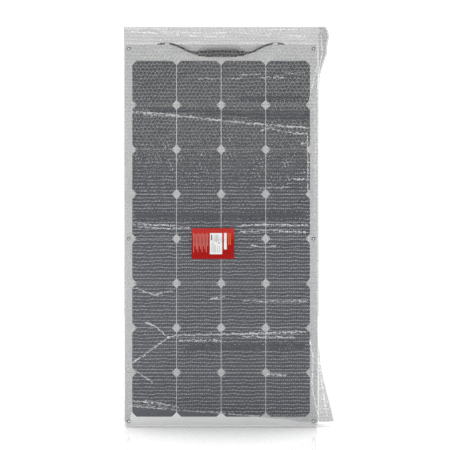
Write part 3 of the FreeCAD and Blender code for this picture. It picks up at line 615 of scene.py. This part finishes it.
def crease_height(across, up, creases):
    """How far the creases lift the film, and how much they flatten its bubbles, from 0 to 1."""
    lift = np.zeros(across.shape)
    flat = np.zeros(across.shape)
    for number, (line, height, width) in enumerate(creases):
        reach = 4 * width + 0.006
        near = (across > min(x for x, _ in line) - reach) & (across < max(x for x, _ in line) + reach)
        near &= (up > min(z for _, z in line) - reach) & (up < max(z for _, z in line) + reach)
        here, there = across[near], up[near]
        wobble = 0.003 * ripple(here, there, 0.03, number + 1)
        wobble = wobble + 0.0015 * ripple(here, there, 0.009, number + 40)
        distance = distance_to_line(here, there + wobble, line)
        strength = 0.65 + 0.35 * ripple(here, there, 0.05, number + 80)
        lift[near] = np.maximum(lift[near], strength * height * np.exp(-(distance / width) ** 2))
        flat[near] = np.maximum(flat[near], np.exp(-(distance / (width * 1.1)) ** 2))
    return lift, flat


def tent(across, up, low, high, depth, reach):
    """A smooth rise to depth over a rectangle, falling away within reach of it."""
    beyond_x = np.maximum(np.maximum(low[0] - across, across - high[0]), 0)
    beyond_z = np.maximum(np.maximum(low[1] - up, up - high[1]), 0)
    share = np.clip(1 - np.hypot(beyond_x, beyond_z) / reach, 0, 1)
    return depth * share * share * (3 - 2 * share)


def closing(rest, across, up, margin, reach):
    """A leaf's depth, brought down to the free depth past the sheet's top and right edges."""
    above = np.clip((up - SHEET_TOP - margin) / reach, 0, 1)
    rest = rest * (1 - above) + FREE_DEPTH * above
    past = np.clip((across - SHEET_RIGHT) / RIGHT_REACH, 0, 1)
    return rest * (1 - past) + FREE_DEPTH * past


def lifts_on_both_sides(across, up, lifts):
    """The tents over what lies alike on both sides. Each: near and far, foot and top, depth and reach."""
    tents = []
    for (near, far), (foot, top), depth, reach in lifts:
        for sign in (-1, 1):
            left, right = sorted((sign * near, sign * far))
            tents.append(tent(across, up, (left, foot), (right, top), depth, reach))
    return tents


# The leads' lift of the front leaf, and their lift of the rear one where they come over the sheet's top
FRONT_LEAD_LIFTS = [
    ((0.06, 0.15), (-0.016, 0.018), 0.0098, 0.026), ((0.14, 0.176), (0.0, 0.022), 0.0085, 0.024),
]
REAR_LEAD_LIFTS = [((0.15, 0.208), (-0.01, 0.024), 0.013, 0.03)]
# The pieces behind the sheet that lift the rear leaf, each with the reach of its lift
REAR_LIFTS = [
    ("coil_left", 0.05), ("coil_right", 0.05), ("plug_shell", 0.06), ("socket_shell", 0.06),
    ("plug_nut", 0.06), ("socket_nut", 0.06),
]


def front_standoff(across, up):
    """How far in front of the sheet's middle the front leaf's film lies."""
    rest = -SHEET_FRONT + 0.0016 + 0.0007 * (1 + ripple(across, up, 0.16, 3)) + 0.0005 * (
        1 + ripple(across, up, 0.045, 9))
    rest = closing(rest, across, up, 0.004, 0.035)
    lid_low, lid_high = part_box("box_lid")
    base_low, base_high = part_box("box_base")
    rise = tent(across, up, (lid_low.x, lid_low.z), (lid_high.x, lid_high.z), -lid_low.y + 0.0008, 0.03)
    ends = tent(across, up, (base_low.x, base_low.z), (base_high.x, base_high.z), -base_low.y + 0.0006, 0.028)
    return np.maximum.reduce([rest, rise, ends, *lifts_on_both_sides(across, up, FRONT_LEAD_LIFTS)])


def rear_standoff(across, up):
    """How far behind the sheet's middle the rear leaf's film lies."""
    rest = SHEET_BACK + 0.0024 + 0.0008 * (1 + ripple(across, up, 0.18, 5)) + 0.0004 * (
        1 + ripple(across, up, 0.05, 7))
    depths = [closing(rest, across, up, 0.006, 0.04)]
    for name, reach in REAR_LIFTS:
        low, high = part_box(name)
        depths.append(tent(across, up, (low.x, low.z), (high.x, high.z), high.y + 0.0016, reach))
    return np.maximum.reduce([*depths, *lifts_on_both_sides(across, up, REAR_LEAD_LIFTS)])


def edge_at(edge, heights):
    """The value of an edge that is listed against falling heights."""
    listed = sorted(edge)
    return np.interp(heights, [key for key, _ in listed], [value for _, value in listed])


def wandered(across, up):
    """Heights on the front leaf: its rows of bubbles wander, except along the bend lines and its ends."""
    lines = [WRAP_TOP, *BEND_LINES, WRAP_FOOT]
    to_line = np.min([np.abs(up - line) for line in lines], axis=0)
    share = np.clip(to_line / 0.03, 0, 1)
    return up + share * (0.0022 * ripple(across, up, 0.1, 91) + 0.001 * ripple(across, up, 0.035, 95))


def on_front(across, up, proud):
    """Points of the front leaf, cut to its free edges, that stand so far proud of its film."""
    up = wandered(across, up)
    right = edge_at(RIGHT_EDGE, up)
    foot = edge_at(FOOT_EDGE, across)
    left = FOLD_X + FOLD_DEPTH
    proud = np.where((across < left) | (across > right) | (up < foot) | (up > WRAP_TOP), 0, proud)
    across, up = np.clip(across, left, right), np.clip(up, foot, WRAP_TOP)
    proud = proud * np.where(across > FREE_FROM, FREE_RELIEF, 1)
    lift, flat = crease_height(across, up, FRONT_CREASES)
    near_fold = np.clip((across - FOLD_X) / FOLD_REACH, 0, 1)
    depth = (front_standoff(across, up) + lift) * near_fold ** 0.5 + proud * (1 - 0.8 * flat)
    return np.stack([across, -depth, up], axis=-1)


def on_rear(across, up, proud):
    """Points of the rear leaf, which ends a little short of the front one on the right and at the top."""
    right = edge_at(RIGHT_EDGE, up) - REAR_SHORT_ACROSS
    left, top = FOLD_X + FOLD_DEPTH, WRAP_TOP - REAR_SHORT_UP
    proud = np.where((across < left) | (across > right) | (up > top) | (up < WRAP_FOOT), 0, proud)
    across, up = np.clip(across, left, right), np.clip(up, WRAP_FOOT, top)
    proud = proud * np.where(across > FREE_FROM, FREE_RELIEF, 1)
    near_fold = np.clip((across - FOLD_X) / FOLD_REACH, 0, 1)
    depth = rear_standoff(across, up) * near_fold ** 0.5 + proud
    return np.stack([across, depth, up], axis=-1)


def row_limits(section):
    """The rows of bubbles, counted from the top, that belong to one section."""
    heights = [WRAP_TOP] + BEND_LINES + [WRAP_FOOT]
    first = round((WRAP_TOP - heights[section]) / ROW_PITCH)
    last = round((WRAP_TOP - heights[section + 1]) / ROW_PITCH)
    return first, last


def cell_middles(section):
    """The middle of each cell of one section, in quarter pitches across and half rows down."""
    first, last = row_limits(section)
    columns = round((WRAP_RIGHT + 0.026 - FOLD_X) / FILM_PITCH)
    row, column = np.meshgrid(np.arange(first, last), np.arange(-1, columns), indexing="ij")
    row, column = row.ravel(), column.ravel()
    return 4 * column + 2 * (row % 2) + 2, 2 * row + 1


def cell_border(sides):
    """A cell's border as steps from its middle, on a lattice whose points neighbours share."""
    steps = (sides - 4) // 2
    half = [(2 - 4 * step // steps, -1) for step in range(steps)] + [(-2, -1), (-2, 0)]
    return half + [(-x, -y) for x, y in half]


def leaf_points(section, surface, sides, rings):
    """Each cell's border points, its rings from the outside in, and its top point, laid on the surface."""
    middle_across, middle_up = cell_middles(section)
    border = cell_border(sides)
    centre_across = FOLD_X + FOLD_DEPTH + middle_across * FILM_PITCH / 4
    centre_up = WRAP_TOP - middle_up * ROW_PITCH / 2
    radius_wander = BUBBLE_RADIUS * (1 + 0.07 * ripple(centre_across, centre_up, 0.02, 21))
    height_wander = BUBBLE_HEIGHT * (1 + 0.2 * ripple(centre_across, centre_up, 0.03, 33))
    across = [FOLD_X + FOLD_DEPTH + (middle_across + x) * FILM_PITCH / 4 for x, _ in border]
    up = [WRAP_TOP - (middle_up + y) * ROW_PITCH / 2 for _, y in border]
    proud = [np.zeros(middle_up.size)] * sides
    for radius, height in rings:
        for side in range(sides):
            turn = math.pi / 4 + 2 * math.pi * side / sides
            across.append(centre_across + radius_wander * radius * math.cos(turn))
            up.append(centre_up + radius_wander * radius * math.sin(turn))
            proud.append(height_wander * height)
    across.append(centre_across)
    up.append(centre_up)
    proud.append(height_wander)
    return surface(*(np.stack(values, axis=-1).ravel() for values in (across, up, proud)))


def leaf(section, surface, sides, rings):
    """One leaf of bubble film: a brick pattern of cells, each a flat border round one bubble.

    sides is the number of points round a bubble, and rings lists each ring's share of its radius and height.
    Returns the points, the bands of faces from the border inwards, the tops, and which faces of a band look
    up or down.
    """
    points = leaf_points(section, surface, sides, rings)
    per_cell = sides * (len(rings) + 1) + 1
    cells = len(points) // per_cell
    starts = np.arange(cells)[:, None, None] * per_cell
    here = np.arange(sides)
    after = (here + 1) % sides
    bands = []
    for ring in range(len(rings)):
        band = np.stack([here, after, after + sides, here + sides], axis=-1) + ring * sides
        bands.append((starts + band[None]).reshape(-1, 4))
    inner = len(rings) * sides
    top = np.stack([here + inner, after + inner, np.full(sides, per_cell - 1)], axis=-1)
    tops = (starts + top[None]).reshape(-1, 3)
    turns = math.pi / 4 + 2 * math.pi * (here + 0.5) / sides
    across_rows = np.tile(np.abs(np.sin(turns)) > 0.6, cells)
    return points, bands, tops, across_rows


# Where the front leaf lies close on the cells and shows them darker: points across and up, and half-width
CLOSE_PATCHES = [
    ([(-0.2, -0.172), (0.0, -0.18)], 0.006),
    ([(-0.04, -0.181), (0.09, -0.187)], 0.01),
    ([(0.09, -0.188), (0.245, -0.193)], 0.017),
    ([(-0.23, -0.474), (-0.05, -0.478), (0.23, -0.473)], 0.015),
    ([(-0.1, -0.852), (0.23, -0.846)], 0.012),
    ([(0.06, -0.142), (0.23, -0.14)], 0.008),
]


def has_area(points, faces):
    """True for the faces that keep an area after the film is cut to its edges."""
    a, b, c = points[faces[:, 0]], points[faces[:, 1]], points[faces[:, 2]]
    area = np.linalg.norm(np.cross(b - a, c - a), axis=1)
    if faces.shape[1] == 4:
        d = points[faces[:, 3]]
        area = area + np.linalg.norm(np.cross(c - a, d - a), axis=1)
    return area > LEAST_AREA


FILM_FINISHES = ["bubble", "web", "crease", "doubled", "flap", "bubble_cool", "web_cool"]
TOP, WEB, CREASE_HIGHLIGHT, DOUBLED, FLAP, TOP_COOL, WEB_COOL = range(7)
# The film looks cooler and brighter below here, and fully so further down
COOL_START, COOL_FULL = -0.2, -0.56
# The rows of bubbles show as bands below here, and fully further down: painted shade on the walls beside each
# bubble, with its walls above and below left lighter as if lit from above and below
BANDS_START, BANDS_FULL = -0.16, -0.45


# The film past the sheet's edges starts this far from them
EDGE_MARGIN = 0.003


def face_finish(centres, finish, across_rows=None):
    """The finish of each face: as given, but dark beside a bubble where the rows show as bands, a painted
    shade, grey past the sheet's edges, and near white on the front leaf's creases, a painted highlight.
    Ripples break up the lines between finishes."""
    across, up = centres[:, 0], centres[:, 2]
    finish = np.full(len(centres), finish)
    fine = ripple(across, up, 0.012, 71)
    if across_rows is not None:
        # Painted shade: where the rows show as bands, the walls beside each bubble take the dark finish and
        # its walls above and below keep the light one
        banded = (BANDS_START - up) / (BANDS_START - BANDS_FULL)
        banded = banded + 0.25 * ripple(across, up, 0.06, 63) + 0.4 * fine
        finish[(banded > 0.5) & ~across_rows] = TOP
    _, close = crease_height(across, up, [(line, 0, width) for line, width in CLOSE_PATCHES])
    finish[(centres[:, 1] < 0) & (close + 0.5 * fine > 0.6)] = TOP
    cool = (COOL_START - up) / (COOL_START - COOL_FULL)
    cool = cool + 0.25 * ripple(across, up, 0.09, 67) + 0.4 * ripple(across, up, 0.012, 69) > 0.5
    finish[cool & (finish == TOP)] = TOP_COOL
    finish[cool & (finish == WEB)] = WEB_COOL
    finish[up > SHEET_TOP + EDGE_MARGIN] = DOUBLED
    finish[across > SHEET_RIGHT + EDGE_MARGIN] = FLAP
    # Painted highlight: the front leaf's creases take the near-white finish, broken into dashes
    _, flat = crease_height(across, up, FRONT_CREASES)
    broken = 0.3 * ripple(across, up, 0.022, 51) + 0.3 * ripple(across, up, 0.008, 57)
    finish[(centres[:, 1] < 0) & (flat + broken > 0.8)] = CREASE_HIGHLIGHT
    return finish


def fold_strip(section):
    """The strip of plain film that runs round the sheet's left edge, from the front leaf to the rear one."""
    first, last = row_limits(section)
    up = WRAP_TOP - np.arange(first, last + 1) * ROW_PITCH
    up = np.clip(up, WRAP_FOOT, WRAP_TOP)
    steps = FOLD_STEPS
    start = on_front(np.full(up.size, FOLD_X + FOLD_DEPTH), up, np.zeros(up.size))
    end = on_rear(np.full(up.size, FOLD_X + FOLD_DEPTH), up, np.zeros(up.size))
    points = []
    for step in range(steps + 1):
        turn = math.pi * step / steps
        share = 0.5 - 0.5 * math.cos(turn)
        line = start * (1 - share) + end * share
        line[:, 0] = FOLD_X + FOLD_DEPTH - (FOLD_DEPTH + 0.0002) * math.sin(turn)
        line[:, 2] = up
        points.append(line)
    points = np.concatenate(points)
    corner = (np.arange(steps)[:, None] * up.size + np.arange(up.size - 1)[None, :]).ravel()
    return points, np.stack([corner, corner + 1, corner + up.size + 1, corner + up.size], axis=-1)


def wrap_shape(section):
    """One section's film: its points, its faces in groups, and the finish of each face."""
    front, front_bands, front_tops, front_rows = leaf(section, on_front, FRONT_SIDES, FRONT_RINGS)
    rear, rear_bands, rear_tops, rear_rows = leaf(section, on_rear, REAR_SIDES, REAR_RINGS)
    fold, fold_faces = fold_strip(section)
    points = np.concatenate([front, rear, fold])
    to_rear, to_fold = len(front), len(front) + len(rear)
    # The flat film between bubbles and the steep walls take the light web finish, the tops the dark one:
    # partly the film's own milkiness, partly painted sheen on the walls
    groups = [(band, WEB, front_rows) for band in front_bands[:2]]
    groups += [(front_bands[2], TOP, None), (front_tops, TOP, None)]
    groups += [(band[:, ::-1] + to_rear, WEB, rear_rows) for band in rear_bands]
    groups += [(rear_tops[:, ::-1] + to_rear, TOP, None), (fold_faces + to_fold, WEB, None)]
    faces, finishes = [], []
    for group, finish, across_rows in groups:
        real = has_area(points, group)
        faces.append(group[real])
        rows = None if across_rows is None else across_rows[real]
        finishes.append(face_finish(points[group[real]].mean(axis=1), finish, rows))
    points, shared = np.unique(points, axis=0, return_inverse=True)
    faces = [shared.ravel()[group] for group in faces]
    return points, faces, np.concatenate(finishes)


def add_wrap(section, materials):
    """One section's length of bubble film: two leaves with their bubbles, and the fold between them."""
    points, faces, finishes = wrap_shape(section)
    wrap = new_mesh(f"bubble_wrap_{section + 1}", points, faces, materials[FILM_FINISHES[0]], smooth=True)
    for key in FILM_FINISHES[1:]:
        wrap.data.materials.append(materials[key])
    wrap.data.polygons.foreach_set("material_index", finishes.astype(np.int32))
    wrap.data.validate()
    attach(wrap, BODIES[section])
    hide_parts(f"wrap_{section + 1}")


# -------- laminate and label

FLEX_HALF_HEIGHT = 0.0006
FLEX_STEPS = 6
LINK_LENGTH = 0.112
LINK_COLUMNS = 4
LINK_THICKNESS = 0.0003
# Gaps that keep faces out of one plane: at the links, the face film and the strips
HAIR_GAP, FILM_GAP, STRIP_GAP = 0.00002, 0.00005, 0.0001


def box_mesh(name, low, high, material):
    """A closed box, for thin layers."""
    points = [(x, y, z) for x in (low[0], high[0]) for y in (low[1], high[1]) for z in (low[2], high[2])]
    faces = [(0, 1, 3, 2), (4, 6, 7, 5), (0, 4, 5, 1), (2, 3, 7, 6), (0, 2, 6, 4), (1, 5, 7, 3)]
    return new_mesh(name, points, faces, material)


def add_face_film(section, material):
    """The clear face film of one section, a little thinner than its solid so that it clears the cells."""
    low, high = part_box(f"film_{section + 1}")
    back_corner = (high.x, high.y - FILM_GAP, high.z)
    film = box_mesh(f"face_film_{section + 1}", tuple(low), back_corner, material)
    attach(film, BODIES[section])
    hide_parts(f"film_{section + 1}")


def bar_faces(start, rings):
    """The faces of a four-sided bar, whose rings of four points follow one another from start."""
    last = start + 4 * (rings - 1)
    faces = [tuple(start + corner for corner in (3, 2, 1, 0)), tuple(last + corner for corner in range(4))]
    for ring in range(start, last, 4):
        for side in range(4):
            after = (side + 1) % 4
            faces.append((ring + side, ring + after, ring + 4 + after, ring + 4 + side))
    return faces


def add_flex_strip(number, material):
    """The white core where the sheet bends, in the narrow gap that the CAD leaves between two sections."""
    line = BEND_LINES[number]
    front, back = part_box("cells_1")[0].y, SHEET_BACK - STRIP_GAP
    left, right = SHEET_LEFT + STRIP_GAP, SHEET_RIGHT - STRIP_GAP
    heights = [line + FLEX_HALF_HEIGHT * (1 - 2 * step / FLEX_STEPS) for step in range(FLEX_STEPS + 1)]
    corners = ((left, front), (right, front), (right, back), (left, back))
    points = [(x, y, z) for z in heights for x, y in corners]
    strip = new_mesh(f"flex_strip_{number + 1}", points, bar_faces(0, len(heights)), material)
    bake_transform(strip)


def add_flex_links(number, material):
    """The copper bars that show in the gap between cells where the sheet bends, one under each column."""
    line = BEND_LINES[number]
    low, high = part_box(f"cell_links_{number + 1}")
    pitch = (high.x - low.x - LINK_LENGTH) / (LINK_COLUMNS - 1)
    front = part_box("cells_1")[0].y - HAIR_GAP
    points, faces = [], []
    for column in range(LINK_COLUMNS):
        left = low.x + column * pitch
        corners = ((left, front), (left + LINK_LENGTH, front),
                   (left + LINK_LENGTH, front + LINK_THICKNESS), (left, front + LINK_THICKNESS))
        faces += bar_faces(len(points), 3)
        points += [(x, y, line + z) for z in (FLEX_HALF_HEIGHT, 0, -FLEX_HALF_HEIGHT) for x, y in corners]
    links = new_mesh(f"flex_links_{number + 1}", points, faces, material)
    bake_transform(links)


# A card's mesh has cells of about this size
CARD_CELL = 0.004
PAPER_THICKNESS, STICKER_THICKNESS, PRINT_THICKNESS = 0.0002, 0.00015, 0.00005
# How far from the card's back the sticker and the card's own print lie, and the sticker's print
ON_CARD, ON_STICKER = 0.0003, 0.0005
# The card rises in a ridge this high along its fold, which lies a little above its middle
RIDGE_HEIGHT, RIDGE_WIDTH, RIDGE_ABOVE_MIDDLE = 0.0022, 0.012, 0.004


def label_depth(across, up):
    """The label bridges the bubbles, so it lies over their tops with a slight wave of its own."""
    wave = 0.0006 * ripple(across, up, 0.09, 12) + 0.0003 * ripple(across, up, 0.03, 14)
    low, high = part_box("label")
    past_ridge = (up - (low.z + high.z) / 2 - RIDGE_ABOVE_MIDDLE) / RIDGE_WIDTH
    wave = wave + RIDGE_HEIGHT * np.exp(-past_ridge ** 2) - 0.0006 * past_ridge / 4
    return -SHEET_FRONT + 0.0036 + BUBBLE_HEIGHT * 1.1 + 0.0012 + wave


def card_rim(columns, rows):
    """The numbers of a grid's outer points, once round."""
    width = columns + 1
    rim = list(range(width))
    rim += [(row + 1) * width - 1 for row in range(1, rows + 1)]
    rim += [rows * width + column for column in range(columns - 1, -1, -1)]
    rim += [row * width for row in range(rows - 1, 0, -1)]
    return rim


def card_on_wrap(name, low, high, material, lift, thickness, node=None):
    """A thin card that lies on the front leaf's bubbles and follows their broad shape."""
    columns, rows = (max(1, round((b - a) / CARD_CELL)) for a, b in zip(low, high))
    across, up = np.meshgrid(np.linspace(low[0], high[0], columns + 1),
                             np.linspace(low[1], high[1], rows + 1))
    across, up = across.ravel(), up.ravel()
    depth = label_depth(across, up) + lift
    outer = np.stack([across, -(depth + thickness), up], axis=-1)
    inner = np.stack([across, -depth, up], axis=-1)
    count = across.size
    faces = []
    for row in range(rows):
        for column in range(columns):
            a = row * (columns + 1) + column
            b, c, d = a + 1, a + columns + 2, a + columns + 1
            faces.append((a, b, c, d))
            faces.append((count + d, count + c, count + b, count + a))
    rim = card_rim(columns, rows)
    for a, b in zip(rim, rim[1:] + rim[:1]):
        faces.append((b, a, count + a, count + b))
    card = new_mesh(name, np.concatenate([outer, inner]), faces, material)
    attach(card, "middle_section")
    if node:
        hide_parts(node)


# The card and what is stuck on it: piece, CAD node, finish, distance from the card's back, thickness and slot
CARDS = [
    ("red_card", "label", "red", 0, PAPER_THICKNESS, "red_label"),
    ("white_sticker", "label_sticker", "white", ON_CARD, STICKER_THICKNESS, "white_label"),
    ("white_strip", "label_strip", "white", ON_CARD, STICKER_THICKNESS, "white_label"),
]
# Each bar of the sticker's print: from the left, from the top, width, height and finish
STICKER_PRINT = [
    (0.0035, 0.005, 0.003, 0.015, "ink_dark"), (0.014, 0.005, 0.0012, 0.02, "ink_grey"),
    (0.018, 0.005, 0.0012, 0.023, "ink_grey"), (0.0225, 0.005, 0.0012, 0.018, "ink_grey"),
    (0.0245, 0.026, 0.0025, 0.005, "ink_dark"), (0.005, 0.028, 0.0012, 0.026, "ink_grey"),
    (0.0085, 0.024, 0.0012, 0.03, "ink_grey"), (0.012, 0.032, 0.0012, 0.023, "ink_grey"),
    (0.016, 0.034, 0.0012, 0.021, "ink_grey"), (0.0215, 0.033, 0.0012, 0.022, "ink_grey"),
    (0.027, 0.036, 0.0012, 0.018, "ink_grey"),
]
PRINT_BARS, PRINT_PITCH, PRINT_WIDTH = 11, 0.004, 0.0016
# The amber bars: how far the left side of each lies from the card's right edge, and their width
AMBER_FROM_RIGHT, AMBER_WIDTH = (0.0165, 0.012), 0.0022


def add_sticker_print(materials):
    low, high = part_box("label_sticker")
    for number, (left, top, width, height, finish) in enumerate(STICKER_PRINT):
        card_on_wrap(f"sticker_bar_{number + 1}", (low.x + left, high.z - top - height),
                     (low.x + left + width, high.z - top), materials[finish], ON_STICKER, PRINT_THICKNESS)


def add_card_print(materials):
    """Upright bars of faint print on the card's left, and an amber pair near its right edge."""
    low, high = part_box("label")
    for number in range(PRINT_BARS):
        left = low.x + 0.004 + number * PRINT_PITCH
        top = high.z - 0.013 - 0.002 * (number % 3)
        foot = low.z + 0.019 + 0.009 * ((number * 2) % 3)
        card_on_wrap(f"print_bar_{number + 1}", (left, foot), (left + PRINT_WIDTH, top),
                     materials["ink_pale"], ON_CARD, PRINT_THICKNESS)
    for number, from_right in enumerate(AMBER_FROM_RIGHT):
        left = high.x - from_right
        card_on_wrap(f"amber_bar_{number + 1}", (left, low.z + 0.04), (left + AMBER_WIDTH, high.z - 0.014),
                     materials["ink_amber"], ON_CARD, PRINT_THICKNESS)


def add_label(materials):
    """A plain red card with a white sticker and strip, and plain bars where such a card has print."""
    for name, node, finish, lift, thickness, slot in CARDS:
        low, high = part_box(node)
        card_on_wrap(name, (low.x, low.z), (high.x, high.z), materials[finish], lift, thickness, node)
    add_sticker_print(materials)
    add_card_print(materials)


# -------- build

bpy.context.scene.view_settings.view_transform = "Standard"
add_camera()
add_stage()
MATERIALS = make_materials()
dress_cad_nodes(MATERIALS)
for lead_name, lead_sign in (("lead_left", -1), ("lead_right", 1)):
    add_lead(lead_name, lead_sign, MATERIALS["cable"], MATERIALS["tape"])
bpy.context.scene.cycles.transparent_max_bounces = 32
bpy.context.scene.cycles.denoising_prefilter = "NONE"
for section_number in range(len(BODIES)):
    add_wrap(section_number, MATERIALS)
    add_face_film(section_number, MATERIALS["film"])
for strip_number in range(len(BEND_LINES)):
    add_flex_strip(strip_number, MATERIALS["core"])
    add_flex_links(strip_number, MATERIALS["copper"])
add_label(MATERIALS)
